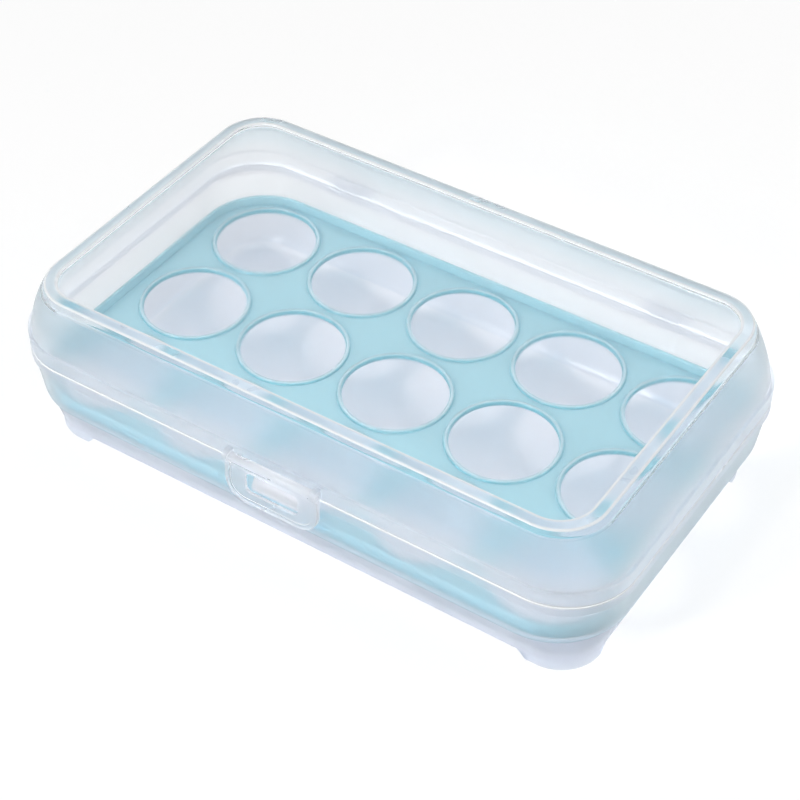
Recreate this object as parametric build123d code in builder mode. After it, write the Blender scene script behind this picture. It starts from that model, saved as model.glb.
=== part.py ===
from build123d import *
import os
from math import asin, atan2, cos, degrees, hypot, radians, sin

# Egg keeper with a flip lid: a shallow base on four corner feet, a lift-out egg tray with
# collared cells, a domed lid hinged along the rear, and a latch swinging on the lid's front.
# The length runs along X, the hinge is at +Y, the latch at -Y, and the feet stand on Z = 0.
# All sizes are in millimetres. Insets and leans are per side.

# ---------------------------------------------------------------- driving dimensions

# Egg cells
columns = 5
rows = 3
cell_diameter = 39.4
column_web = 6.6  # plate between neighbouring cells of a row
row_web = 6.2  # plate between two rows

# Tray
plate_thickness = 1.3
end_margin = 7.1  # from an end cell to the tray's edge
side_margin = 4.75  # from a side row to the tray's edge
tray_corner_radius = 25.8
lip_height = 4.1  # lip round the tray, above the plate
lip_thickness = 1.2
collar_height = 1.0  # collar round each cell, above the plate
collar_width = 1.3  # at the plate

# Base
wall = 1.2
floor_thickness = 1.5
foot_height = 4.0
foot_length = 20.0  # along the front and rear, from the outline's corner
foot_width = 16.0  # along the two ends, from the outline's corner
foot_wall = 3.0
foot_slope = 3.0
foot_round = 2.2
foot_bevel = 0.8
inner_floor_bevel = 1.2
egg_room = 16.0  # clear height under the tray
ledge_width = 1.6  # step in the wall that carries the tray
tray_gap = 0.4  # between tray and wall
floor_end_lean = 4.5  # lean of the lower wall at the two ends
floor_side_lean = 5.8  # lean of the lower wall at the front and rear
floor_corner_radius = 16.0
rim_rise = 18.5  # from the ledge to the parting line
rim_end_lean = 1.8  # lean of the upper wall at the two ends
rim_side_lean = 0.2  # lean of the upper wall at the front and rear
rim_corner_radius = 25.4
rim_bead = 0.8  # how far the thickened rim stands out
rim_bead_height = 4.2
bead_bevel = 0.5

# Lid
lid_height = 27.7  # from the parting line to the top of the stacking rim
flange_height = 6.4
dome_end_lean = 10.0  # lean of the dome at the two ends, parting line to top
dome_side_lean = 5.2  # lean of the dome at the front and rear
dome_power = 1.9  # 1 is a straight wall, more bulges the shoulder
dome_corner_radius = 17.4  # at the top
stacking_rim_width = 4.1
stacking_rim_height = 1.8
stacking_rim_bevel = 0.4
panel_thickness = 1.4
locating_lip_depth = 1.6
locating_lip_thickness = 1.0
locating_lip_gap = 0.4

# Rear hinges
hinge_spacing = 140.0
hinge_pin_diameter = 3.0
pin_running_gap = 0.08
knuckle_wall = 1.42
knuckle_width = 12.0
knuckle_mouth = 2.3  # narrower than the pin, so that the knuckle snaps on
knuckle_gap = 0.4  # between knuckle and rim
knuckle_root = 1.6  # how much higher than the ring its arm meets the flange
hinge_side_gap = 0.3
hinge_lug_thickness = 2.6
hinge_lug_wall = 1.2
hinge_lug_root = 2.6  # how much lower than its round end a lug starts on the rim
lid_open_angle = 110.0
stop_rib_radius = 0.8
stop_rib_angle = 33.0  # of the rib behind the axis, below level, lid shut
stop_gap = 0.05

# Latch
latch_width = 38.4
latch_drop = 18.2  # from the pivot to the lower edge
latch_thickness = 2.0
latch_gap = 0.6  # between the rim and the shut latch
latch_corner_radius = 8.5
latch_shoulder_round = 0.8
latch_edge_bevel = 0.4
latch_barrel_radius = 1.7
latch_pivot_rise = 3.6  # above the parting line
latch_stub_diameter = 1.8
latch_lug_thickness = 2.3
latch_lug_wall = 1.1
latch_side_gap = 0.3
latch_shoulder_gap = 0.5
latch_bar_height = 4.8
window_width = 22.0
window_height = 9.0
window_corner_radius = 2.4

# Catch on the base, inside the latch's window
catch_side_gap = 1.6
catch_height = 5.0
catch_land = 2.0
catch_hold = 0.6  # how far the shut latch reaches under the catch
catch_gap = 0.3
catch_pass = 0.15  # between the catch and the released latch

tiny = 0.01  # tolerance for picking faces and edges

# ---------------------------------------------------------------- heights

floor_top = foot_height + floor_thickness
seat_z = floor_top + egg_room
step_top_z = seat_z - wall
step_base_z = step_top_z - ledge_width
parting_z = seat_z + rim_rise
top_z = parting_z + lid_height
dome_base_z = parting_z + flange_height
rim_bevel_z = top_z - stacking_rim_bevel
panel_top_z = top_z - stacking_rim_height
panel_underside_z = panel_top_z - panel_thickness

# ---------------------------------------------------------------- outlines
# Each outline is (length, width, corner radius).


def inset(size, by):
    """The outline moved inwards by the same distance all round."""
    length, width, radius = size
    return (length - 2 * by, width - 2 * by, radius - by)


def blend(low, high, share):
    """The outline that lies the given share of the way from low to high."""
    return tuple(a + (b - a) * share for a, b in zip(low, high))


def outline(height, size):
    """A rounded rectangle lying flat at a height."""
    with BuildSketch(Plane.XY.offset(height)) as section:
        RectangleRounded(*size)
    return section.sketch


def ring(height, outer, inner):
    """A rounded-rectangle ring lying flat at a height."""
    with BuildSketch(Plane.XY.offset(height)) as section:
        RectangleRounded(*outer)
        RectangleRounded(*inner, mode=Mode.SUBTRACT)
    return section.sketch


def outside(edge, size):
    """Whether an edge's middle lies outside an outline's length or width, or past its corners."""
    length, width, radius = size
    middle = edge.position_at(0.5)
    over_x = max(abs(middle.X) - (length / 2 - radius), 0)
    over_y = max(abs(middle.Y) - (width / 2 - radius), 0)
    return hypot(over_x, over_y) > radius + tiny


column_pitch = cell_diameter + column_web
row_pitch = cell_diameter + row_web
tray_outline = (
    (columns - 1) * column_pitch + cell_diameter + 2 * end_margin,
    (rows - 1) * row_pitch + cell_diameter + 2 * side_margin,
    tray_corner_radius,
)
seat_inner = inset(tray_outline, -tray_gap)
seat_outer = inset(seat_inner, -wall)
ledge_inner = inset(seat_inner, ledge_width)
ledge_outer = inset(seat_outer, ledge_width)
floor_outline = (
    ledge_outer[0] - 2 * floor_end_lean,
    ledge_outer[1] - 2 * floor_side_lean,
    floor_corner_radius,
)
rim_wall = (
    seat_outer[0] + 2 * rim_end_lean,
    seat_outer[1] + 2 * rim_side_lean,
    rim_corner_radius,
)
rim_inner = inset(rim_wall, wall)
rim_outer = inset(rim_wall, -rim_bead)
lid_mouth = inset(rim_inner, locating_lip_gap + locating_lip_thickness)
dome_top = (
    rim_wall[0] - 2 * dome_end_lean,
    rim_wall[1] - 2 * dome_side_lean,
    dome_corner_radius,
)
rim_inside = inset(dome_top, stacking_rim_width)


def dome(height):
    """Outer outline of the lid's bulging wall at a height."""
    share = (height - parting_z) / lid_height
    return blend(rim_wall, dome_top, share**dome_power)


def stations(low, high, count):
    """Evenly spaced heights from low to high, with the given number of stretches between them."""
    return [low + (high - low) * step / count for step in range(count + 1)]


# ---------------------------------------------------------------- hinge and latch places

rim_rear = rim_outer[1] / 2
rim_front = -rim_rear
wall_front = -rim_wall[1] / 2

flange_root = rim_rear - rim_bead - wall / 2

hinge_pin_radius = hinge_pin_diameter / 2
knuckle_bore_radius = hinge_pin_radius + pin_running_gap
knuckle_radius = knuckle_bore_radius + knuckle_wall
hinge_offset = knuckle_radius + knuckle_gap
hinge_y = rim_rear + hinge_offset
hinge_z = parting_z
hinge_centres = (-hinge_spacing / 2, hinge_spacing / 2)
hinge_lug_radius = hinge_pin_radius + hinge_lug_wall
hinge_lug_place = (knuckle_width + hinge_lug_thickness) / 2 + hinge_side_gap
stop_rib_reach = (hinge_offset - stop_rib_radius - stop_gap) / cos(
    radians(180 - stop_rib_angle - lid_open_angle)
)

pivot_y = rim_front - latch_gap - latch_barrel_radius
pivot_z = parting_z + latch_pivot_rise
stub_hole_radius = latch_stub_diameter / 2 + pin_running_gap
latch_lug_radius = stub_hole_radius + latch_lug_wall
latch_lug_place = (latch_width - latch_lug_thickness) / 2
barrel_length = latch_width - 2 * latch_lug_thickness - 2 * latch_side_gap
stub_length = latch_width - 2 * latch_side_gap
latch_shoulder = latch_lug_radius + latch_shoulder_gap
bar_top = latch_drop - latch_bar_height

catch_tip_y = pivot_y + latch_barrel_radius - catch_hold
catch_base_z = pivot_z - bar_top + catch_gap
catch_width = window_width - 2 * catch_side_gap

# The latch stands released, just far enough out for its bar to pass the catch.
release_angle = degrees(
    atan2(latch_barrel_radius, bar_top)
    - asin(
        (latch_barrel_radius - catch_hold - catch_pass) / hypot(latch_barrel_radius, bar_top)
    )
)
lean_y = sin(radians(release_angle))
lean_z = cos(radians(release_angle))
shoulder_z = pivot_z - latch_shoulder * lean_z + latch_thickness * lean_y
latch_front = Plane(origin=(0, pivot_y, pivot_z), x_dir=(1, 0, 0), z_dir=(0, -lean_z, lean_y))


def hinge_lug(place):
    """Profile of a rear hinge lug, a round end on a foot that reaches into the rim's wall."""
    root_y = rim_wall[1] / 2 - wall / 2
    top = hinge_z - hinge_side_gap
    bottom = hinge_z - hinge_lug_radius
    with BuildSketch(Plane.YZ.offset(place)) as profile:
        with BuildLine():
            Polyline(
                (root_y, top),
                (hinge_y, top),
                (hinge_y, bottom),
                (root_y, bottom - hinge_lug_root),
                close=True,
            )
        make_face()
        with Locations((hinge_y, hinge_z)):
            Circle(hinge_lug_radius)
    return profile.sketch


def knuckle(place):
    """Profile of a rear knuckle: a ring open below, its arm to the flange and its stop rib."""
    mouth_depth = knuckle_radius + knuckle_wall
    with BuildSketch(Plane.YZ.offset(place)) as profile:
        with BuildLine():
            Polyline(
                (flange_root, hinge_z + hinge_side_gap),
                (hinge_y, hinge_z + hinge_side_gap),
                (hinge_y, hinge_z + knuckle_radius),
                (flange_root, hinge_z + knuckle_radius + knuckle_root),
                close=True,
            )
        make_face()
        with Locations((hinge_y, hinge_z)):
            Circle(knuckle_radius)
            with PolarLocations(stop_rib_reach, 1, -stop_rib_angle):
                Circle(stop_rib_radius)
            Circle(knuckle_bore_radius, mode=Mode.SUBTRACT)
            with Locations((0, -mouth_depth / 2)):
                Rectangle(knuckle_mouth, mouth_depth, mode=Mode.SUBTRACT)
    return profile.sketch


def below_shoulder(edge):
    """Whether an edge of the latch lies under the shoulder between the lid's lugs."""
    return edge.bounding_box().max.Z < shoulder_z + tiny


def latch_lug(place):
    """Profile of a front lug: a round end with the stub's hole, on an arm from the flange."""
    with BuildSketch(Plane.YZ.offset(place)) as profile:
        with Locations((pivot_y, pivot_z)):
            Circle(latch_lug_radius)
        with Locations(((pivot_y - flange_root) / 2, pivot_z)):
            Rectangle(-flange_root - pivot_y, 2 * latch_lug_radius)
        with Locations((pivot_y, pivot_z)):
            Circle(stub_hole_radius, mode=Mode.SUBTRACT)
    return profile.sketch


# ---------------------------------------------------------------- egg tray

with BuildPart() as egg_tray:
    with BuildSketch(Plane.XY.offset(seat_z)):
        RectangleRounded(*tray_outline)
    extrude(amount=plate_thickness)
    add(
        extrude(
            ring(seat_z, tray_outline, inset(tray_outline, lip_thickness)),
            amount=plate_thickness + lip_height,
            mode=Mode.PRIVATE,
        )
    )
    # Collars that taper to the rim of each cell
    with BuildSketch(Plane.XY.offset(seat_z + plate_thickness)):
        with GridLocations(column_pitch, row_pitch, columns, rows):
            Circle(cell_diameter / 2 + collar_width)
    extrude(amount=collar_height, taper=degrees(atan2(collar_width, collar_height)))
    with BuildSketch(Plane.XY.offset(seat_z)):
        with GridLocations(column_pitch, row_pitch, columns, rows):
            Circle(cell_diameter / 2)
    extrude(amount=plate_thickness + collar_height, mode=Mode.SUBTRACT)

egg_tray.part.label = "egg_tray"

# ---------------------------------------------------------------- base

with BuildPart() as base:
    # Outer form: the feet, the leaning lower wall, the step of the ledge and the upper wall
    extrude(outline(0, inset(floor_outline, foot_bevel)), amount=foot_bevel, taper=-45)
    extrude(outline(foot_bevel, floor_outline), amount=foot_height - foot_bevel)
    loft([outline(foot_height, floor_outline), outline(step_base_z, ledge_outer)], ruled=True)
    extrude(outline(step_base_z, ledge_outer), amount=ledge_width, taper=-45)
    loft([outline(step_top_z, seat_outer), outline(parting_z, rim_wall)], ruled=True)
    # Thickened rim
    extrude(outline(parting_z - rim_bead_height, rim_outer), amount=rim_bead_height)
    # Hollow above and below the ledge, bevelled along the floor
    loft([outline(seat_z, seat_inner), outline(parting_z, rim_inner)], ruled=True, mode=Mode.SUBTRACT)
    extrude(outline(step_base_z, ledge_inner), amount=seat_z - step_base_z, mode=Mode.SUBTRACT)
    loft(
        [
            outline(floor_top, inset(floor_outline, wall + inner_floor_bevel)),
            outline(floor_top + inner_floor_bevel, inset(floor_outline, wall)),
            outline(step_base_z, ledge_inner),
        ],
        ruled=True,
        mode=Mode.SUBTRACT,
    )
    # The underside is open behind the feet's walls and between the feet
    extrude(outline(0, inset(floor_outline, foot_wall)), amount=foot_height, mode=Mode.SUBTRACT)
    for across, gap, reach in (
        (Plane.XZ, floor_outline[0] - 2 * foot_length, floor_outline[1]),
        (Plane.YZ, floor_outline[1] - 2 * foot_width, floor_outline[0]),
    ):
        with BuildSketch(across):
            with BuildLine():
                Polyline(
                    (-gap / 2 - foot_height, -foot_height),
                    (-gap / 2 - foot_height, 0),
                    (-gap / 2, 0),
                    (-gap / 2 + foot_slope, foot_height),
                    (gap / 2 - foot_slope, foot_height),
                    (gap / 2, 0),
                    (gap / 2 + foot_height, 0),
                    (gap / 2 + foot_height, -foot_height),
                    close=True,
                )
            face = make_face()
            bends = face.vertices().filter_by_position(Axis.X, -gap / 2 - tiny, gap / 2 + tiny)
            fillet(bends, foot_round)
        extrude(amount=reach, both=True, mode=Mode.SUBTRACT)
    # Bevelled lower edge of the rim
    bead_z = parting_z - rim_bead_height
    bead_rims = base.edges().filter_by_position(Axis.Z, bead_z - tiny, bead_z + tiny)
    chamfer(bead_rims.filter_by(lambda edge: outside(edge, rim_wall)), bead_bevel)
    # Rear hinge lugs, joined by their pins
    for centre in hinge_centres:
        for side in (-1, 1):
            add(
                extrude(
                    hinge_lug(centre + side * hinge_lug_place),
                    amount=hinge_lug_thickness / 2,
                    both=True,
                    mode=Mode.PRIVATE,
                )
            )
        with BuildSketch(Plane.YZ.offset(centre)):
            with Locations((hinge_y, hinge_z)):
                Circle(hinge_pin_radius)
        extrude(amount=hinge_lug_place, both=True)
    # Catch nose, a land under a lead-in ramp
    with BuildSketch(Plane.YZ):
        with BuildLine():
            Polyline(
                (wall_front + wall / 2, catch_base_z),
                (catch_tip_y, catch_base_z),
                (catch_tip_y, catch_base_z + catch_land),
                (wall_front, catch_base_z + catch_height),
                (wall_front + wall / 2, catch_base_z + catch_height),
                close=True,
            )
        make_face()
    extrude(amount=catch_width / 2, both=True)

base.part.label = "base"

# ---------------------------------------------------------------- lid

with BuildPart() as lid:
    # Outer form: a straight flange with a bevelled shoulder, under a bulging dome
    extrude(outline(parting_z, rim_outer), amount=flange_height - bead_bevel)
    extrude(outline(dome_base_z - bead_bevel, rim_outer), amount=bead_bevel, taper=45)
    loft(
        [outline(height, dome(height)) for height in stations(dome_base_z, rim_bevel_z, 4)],
        ruled=True,
    )
    extrude(outline(rim_bevel_z, dome(rim_bevel_z)), amount=stacking_rim_bevel, taper=45)
    # Hollow, up to the underside of the top
    extrude(outline(parting_z, lid_mouth), amount=wall, mode=Mode.SUBTRACT)
    loft(
        [
            outline(parting_z + wall, lid_mouth),
            outline(dome_base_z, inset(dome(dome_base_z), wall)),
        ],
        ruled=True,
        mode=Mode.SUBTRACT,
    )
    loft(
        [
            outline(height, inset(dome(height), wall))
            for height in stations(dome_base_z, panel_underside_z, 2)
        ],
        ruled=True,
        mode=Mode.SUBTRACT,
    )
    # Sunk top panel inside the stacking rim, whose inner edge is bevelled too
    extrude(outline(panel_top_z, rim_inside), amount=stacking_rim_height, mode=Mode.SUBTRACT)
    extrude(
        outline(rim_bevel_z, rim_inside), amount=stacking_rim_bevel, taper=-45, mode=Mode.SUBTRACT
    )
    # Locating lip inside the base's rim
    extrude(
        ring(
            parting_z - locating_lip_depth,
            inset(rim_inner, locating_lip_gap),
            lid_mouth,
        ),
        amount=locating_lip_depth,
    )
    # Rear knuckles that snap onto the base's pins from above, each with its stop rib
    for centre in hinge_centres:
        add(extrude(knuckle(centre), amount=knuckle_width / 2, both=True, mode=Mode.PRIVATE))
    # Front lugs that carry the latch
    for place in (-latch_lug_place, latch_lug_place):
        add(extrude(latch_lug(place), amount=latch_lug_thickness / 2, both=True, mode=Mode.PRIVATE))

lid.part.label = "lid"

# ---------------------------------------------------------------- latch

with BuildPart() as latch:
    # Frame with its window, hung from the barrel between the lid's lugs
    with BuildSketch(latch_front.offset(-latch_barrel_radius)):
        with Locations((0, -(latch_shoulder + latch_drop) / 2)):
            Rectangle(latch_width, latch_drop - latch_shoulder)
        fillet(vertices().group_by(Axis.Y)[0], latch_corner_radius)
        fillet(vertices().group_by(Axis.Y)[-1], latch_shoulder_round)
        with Locations((0, -latch_shoulder / 2)):
            Rectangle(barrel_length, latch_shoulder)
        with Locations((0, window_height / 2 - bar_top)):
            RectangleRounded(window_width, window_height, window_corner_radius, mode=Mode.SUBTRACT)
    extrude(amount=latch_thickness)
    # Bevelled front edge of the frame
    front = latch.faces().sort_by(Axis.Y)[0]
    chamfer(front.outer_wire().edges().filter_by(below_shoulder), latch_edge_bevel)
    # Barrel and stub pins
    with BuildSketch(Plane.YZ):
        with Locations((pivot_y, pivot_z)):
            Circle(latch_barrel_radius)
    extrude(amount=barrel_length / 2, both=True)
    with BuildSketch(Plane.YZ):
        with Locations((pivot_y, pivot_z)):
            Circle(latch_stub_diameter / 2)
    extrude(amount=stub_length / 2, both=True)

latch.part.label = "latch"

os.makedirs("parts", exist_ok=True)
for piece in (base, egg_tray, lid, latch):
    export_step(piece.part, f"parts/{piece.part.label}.step")
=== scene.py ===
"""Egg keeper with a flip lid, dressed in frosted, clear and tinted plastic.

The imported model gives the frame. Each moulding is rebuilt here as a smooth closed shell with
rounded edges, in the place of its plain solid, and rides on that solid's body.
Sizes are in millimetres until they go into a mesh, which is in metres.
"""

import logging
from collections.abc import Callable, Sequence
from dataclasses import asdict, astuple, dataclass, replace
from enum import Enum
from math import cos, hypot, radians, sin

import bmesh
import bpy
from mathutils import Matrix, Vector


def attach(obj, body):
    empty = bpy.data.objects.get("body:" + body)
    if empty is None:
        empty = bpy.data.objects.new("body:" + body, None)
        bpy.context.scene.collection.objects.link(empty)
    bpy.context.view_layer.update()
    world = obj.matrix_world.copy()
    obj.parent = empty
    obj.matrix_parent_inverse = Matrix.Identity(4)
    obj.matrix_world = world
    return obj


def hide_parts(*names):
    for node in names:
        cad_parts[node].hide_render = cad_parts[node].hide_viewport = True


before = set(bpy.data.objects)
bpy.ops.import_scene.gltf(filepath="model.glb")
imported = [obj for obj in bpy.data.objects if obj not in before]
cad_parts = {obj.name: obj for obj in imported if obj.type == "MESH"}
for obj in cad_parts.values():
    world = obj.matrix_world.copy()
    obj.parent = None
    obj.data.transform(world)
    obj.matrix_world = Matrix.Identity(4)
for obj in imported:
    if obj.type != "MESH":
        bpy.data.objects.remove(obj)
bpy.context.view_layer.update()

logging.basicConfig(level=logging.INFO, format="%(levelname)s %(message)s")
log = logging.getLogger("egg_keeper")

MM = 0.001
MERGE = 1e-6  # vertices closer than this become one, in metres
WHITE = (1.0, 1.0, 1.0, 1.0)
QUARTERS = ((1, 1), (-1, 1), (-1, -1), (1, -1))  # signs of x and y, anticlockwise

Colour = tuple[float, float, float]
Point = tuple[float, float, float]
Rgba = tuple[float, float, float, float]
Pair = tuple[float, float]
Solid = bpy.types.Object
Socket = bpy.types.NodeSocket
Ring = list[bmesh.types.BMVert]


def metres(x: float, y: float, z: float) -> Point:
    """A place in millimetres as one in metres."""
    return (x * MM, y * MM, z * MM)


def arc(
    x: float, y: float, radius: float, start: float, end: float, steps: int = 10
) -> list[Pair]:
    """Points of an arc about (x, y), from one angle to another, in degrees."""
    turns = [radians(start + (end - start) * step / steps) for step in range(steps + 1)]
    return [(x + radius * cos(turn), y + radius * sin(turn)) for turn in turns]


def circle(y: float, z: float, radius: float) -> list[Pair]:
    """Corners of a round section about (y, z)."""
    return arc(y, z, radius, 0, 360, 40)[:-1]


# ---- outlines and shared sizes


@dataclass(frozen=True)
class Outline:
    """A rounded rectangle lying flat: half sizes, corner radius and height."""

    half_length: float
    half_width: float
    radius: float
    height: float

    def inset(self, by: float) -> "Outline":
        """The outline moved inwards by the same distance all round."""
        return Outline(self.half_length - by, self.half_width - by, self.radius - by, self.height)

    def at(self, height: float) -> "Outline":
        """The same outline at another height."""
        return replace(self, height=height)

    def towards(self, other: "Outline", share: float) -> "Outline":
        """The outline that lies the given share of the way to another one."""
        sizes = zip(astuple(self), astuple(other))
        return Outline(*(start + (end - start) * share for start, end in sizes))

    def distance(self, other: "Outline") -> float:
        """How far the wall travels from this outline to another one."""
        along = abs(other.half_length - self.half_length)
        across = abs(other.half_width - self.half_width)
        return hypot(max(along, across), other.height - self.height)


@dataclass(frozen=True)
class Heights:
    """Levels that the mouldings share."""

    floor_under: float = 4.0
    floor_top: float = 5.5
    step_base: float = 18.7
    step_top: float = 20.3
    seat: float = 21.5
    parting: float = 40.0
    dome_base: float = 46.4
    panel_under: float = 64.5
    panel_top: float = 65.9
    top: float = 67.7


LEVEL = Heights()
WALL = 1.2
LEDGE = 1.6  # width of the step that carries the tray
BEAD = 0.8  # how far the thickened rim stands out
TRAY_EDGE = Outline(118.8, 70.05, 25.8, LEVEL.seat)
SEAT_INNER = TRAY_EDGE.inset(-0.4)
SEAT_OUTER = SEAT_INNER.inset(-WALL)
LEDGE_INNER = SEAT_INNER.inset(LEDGE)
LEDGE_OUTER = SEAT_OUTER.inset(LEDGE)
FLOOR = Outline(114.3, 64.25, 16.0, LEVEL.floor_under)
RIM_WALL = Outline(122.2, 71.85, 25.4, LEVEL.parting)
RIM_INNER = RIM_WALL.inset(WALL)
RIM_OUTER = RIM_WALL.inset(-BEAD)
DOME_TOP = Outline(112.2, 66.65, 17.4, LEVEL.top)
HINGE_Y, HINGE_Z = 76.05, 40.0
HINGE_CENTRES = (-70.0, 70.0)
HINGE_GAP = 0.3  # from the axis to the lugs and to the knuckles' arms
PIVOT_Y, PIVOT_Z = -74.95, 43.6
ROOT = RIM_WALL.half_width - WALL / 2  # where lugs and knuckles start, inside the wall


# ---- shells and small solids


@dataclass(frozen=True)
class Stop:
    """One turn of a shell's section."""

    outline: Outline  # where the section turns
    rounding: float = 0.0  # how far it reaches to each side
    slot: int = 0  # material slot of the wall that follows
    edge: int | None = None  # slot of the rounding, the walls' own if there is none


@dataclass(frozen=True)
class Sides:
    """Places of the vertices along a ring's straight sides, as shares of half a side."""

    along_x: tuple[float, ...]  # for the front and the rear, between -1 and 1
    along_y: tuple[float, ...]  # for the two ends
    corner_steps: int  # facets of each corner

    def ring(self, outline: Outline) -> list[Pair]:
        """Places of a ring's vertices, anticlockwise from the right-hand end."""
        straight_x = outline.half_length - outline.radius
        straight_y = outline.half_width - outline.radius
        places: list[Pair] = []
        for quarter, (side_x, side_y) in enumerate(QUARTERS):
            if quarter % 2:
                rear_or_front = side_y * outline.half_width
                places += [(side_x * share * straight_x, rear_or_front) for share in self.along_x]
            else:
                end = side_x * outline.half_length
                places += [(end, side_x * share * straight_y) for share in self.along_y]
            middle = (side_x * straight_x, side_y * straight_y)
            turn = 90 * quarter
            places += arc(*middle, outline.radius, turn, turn + 90, self.corner_steps)
        return places


ROUND_STEPS = 5  # facets of each rounding
MOST_OF_WALL = 0.46  # largest share of a wall that a rounding takes
SUPPORT = 0.12  # distance of the ring that keeps a rounding's shading off the wall
SUPPORTED = 3  # a wall this many times longer than its rounding gets such a ring


def rounded(stops: Sequence[Stop]) -> list[tuple[Outline, int]]:
    """Follows a section and rounds its turns.

    Args:
        stops: the section's turns in order.

    Returns:
        Outlines in order, each with the material slot of the wall that follows it.
    """
    path: list[tuple[Outline, int]] = []
    for index, stop in enumerate(stops):
        turn = stop.outline
        if stop.rounding <= 0 or index in (0, len(stops) - 1):
            path.append((turn, stop.slot))
            continue
        before, after = stops[index - 1], stops[index + 1]
        reach_in = turn.distance(before.outline)
        reach_out = turn.distance(after.outline)
        cut = min(stop.rounding, MOST_OF_WALL * reach_in, MOST_OF_WALL * reach_out)
        start = turn.towards(before.outline, cut / reach_in)
        end = turn.towards(after.outline, cut / reach_out)
        if reach_in > SUPPORTED * cut:
            support = turn.towards(before.outline, (cut + SUPPORT) / reach_in)
            path.append((support, before.slot))
        for step in range(ROUND_STEPS + 1):
            share = step / ROUND_STEPS
            slot = before.slot if share < 0.5 else stop.slot
            if stop.edge is not None and step < ROUND_STEPS:
                slot = stop.edge
            leg_in, leg_out = start.towards(turn, share), turn.towards(end, share)
            path.append((leg_in.towards(leg_out, share), slot))
        if reach_out > SUPPORTED * cut:
            support = turn.towards(after.outline, (cut + SUPPORT) / reach_out)
            path.append((support, stop.slot))
    return path


def linked(name: str, form: bpy.types.ID) -> Solid:
    """Puts a mesh, curve, lamp or camera into the scene as an object at the origin."""
    item = bpy.data.objects.new(name, form)
    bpy.context.scene.collection.objects.link(item)
    return item


def finished(name: str, build: bmesh.types.BMesh) -> Solid:
    """Turns a form into an object of the scene, its faces looking outwards."""
    bmesh.ops.recalc_face_normals(build, faces=build.faces)
    mesh = bpy.data.meshes.new(name)
    build.to_mesh(mesh)
    build.free()
    return linked(name, mesh)


def band(build: bmesh.types.BMesh, low: Ring, high: Ring, slot: int = 0) -> None:
    """Joins two rings of vertices with faces of one material slot."""
    for index, corner in enumerate(low):
        after = (index + 1) % len(low)
        face = build.faces.new((corner, low[after], high[after], high[index]))
        face.material_index = slot


def shell(
    name: str,
    stops: Sequence[Stop],
    sides: Sides,
    lift: Callable[[float, float, float], float] | None = None,
) -> Solid:
    """Sweeps a section round a rounded rectangle into one closed shell.

    Args:
        name: name of the new object.
        stops: the section, from the middle of one flat side to the middle of the other.
        sides: places of the vertices along the rings.
        lift: adds to a vertex's height, from its place on the outline and its height.

    Returns:
        The new object.
    """
    path = rounded(stops)
    build = bmesh.new()
    rings: list[Ring] = []
    for outline, _slot in path:
        ring = []
        for x, y in sides.ring(outline):
            z = outline.height + (lift(x, y, outline.height) if lift else 0.0)
            ring.append(build.verts.new(metres(x, y, z)))
        rings.append(ring)
    for low, high, (_outline, slot) in zip(rings, rings[1:], path):
        band(build, low, high, slot)
    for ring, (outline, slot) in ((rings[0], path[0]), (rings[-1], path[-1])):
        middle = build.verts.new(metres(0.0, 0.0, outline.height))
        for corner, after in zip(ring, ring[1:] + ring[:1]):
            build.faces.new((corner, after, middle)).material_index = slot
    return finished(name, build)


class Join(Enum):
    """How a tool solid meets the shell."""

    ADD = "UNION"
    CUT = "DIFFERENCE"


Tool = tuple[Solid, Join]


def bar(
    name: str,
    section: Sequence[Pair],
    low: float,
    high: float,
    join: Join = Join.ADD,
    slot: int = 0,
) -> Tool:
    """Draws a section across the object and gives it a length.

    Args:
        name: name of the new solid.
        section: corners as (y, z).
        low: x of one end.
        high: x of the other end.
        join: how it meets the moulding.
        slot: material slot of its faces.

    Returns:
        The new solid, with the way it meets the moulding.
    """
    build = bmesh.new()
    ends = [[build.verts.new(metres(x, y, z)) for y, z in section] for x in (low, high)]
    band(build, *ends)
    build.faces.new(ends[0])
    build.faces.new(ends[1][::-1])
    for face in build.faces:
        face.material_index = slot
    return finished(name, build), join


OVERRUN = 1.0  # how far a cutting solid stands out at its ends


def row(
    shapes: Sequence[tuple[str, Sequence[Pair], Join]], centres: Sequence[float], half: float
) -> list[Tool]:
    """Bars of the same half width about each of several places, the cutting ones longer."""
    tools: list[Tool] = []
    for centre in centres:
        for name, section, join in shapes:
            reach = half + (OVERRUN if join is Join.CUT else 0.0)
            tools.append(bar(name, section, centre - reach, centre + reach, join))
    return tools


def evaluated(item: Solid) -> bpy.types.Mesh:
    """The plain mesh that an object's curve or modifiers make."""
    bpy.context.view_layer.update()
    graph = bpy.context.evaluated_depsgraph_get()
    return bpy.data.meshes.new_from_object(
        item.evaluated_get(graph), preserve_all_data_layers=True, depsgraph=graph
    )


def take_evaluated(piece: Solid) -> None:
    """Gives a piece the plain mesh that its modifiers make, and clears them."""
    mesh = evaluated(piece)
    piece.modifiers.clear()
    piece.data = mesh


def combine(piece: Solid, tools: Sequence[Tool]) -> None:
    """Joins tool solids with a piece into one closed mesh, and removes them.

    Args:
        piece: the object that is changed.
        tools: the solids and what each does, in order.
    """
    for tool, join in tools:
        dress(tool, piece.data.materials)
        modifier = piece.modifiers.new(tool.name, "BOOLEAN")
        modifier.operation, modifier.solver, modifier.object = join.value, "EXACT", tool
    take_evaluated(piece)
    for tool, _join in tools:
        bpy.data.objects.remove(tool)


def smooth(piece: Solid, crease: float = 38.0) -> None:
    """Shades a piece smooth, with sharp edges where faces meet at more than the crease angle."""
    piece.data.shade_smooth()
    piece.data.set_sharp_from_angle(angle=radians(crease))


def dress(piece: Solid, materials: Sequence[bpy.types.Material]) -> None:
    """Gives a piece its material slots."""
    for material in materials:
        piece.data.materials.append(material)


# ---- node trees


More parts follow.
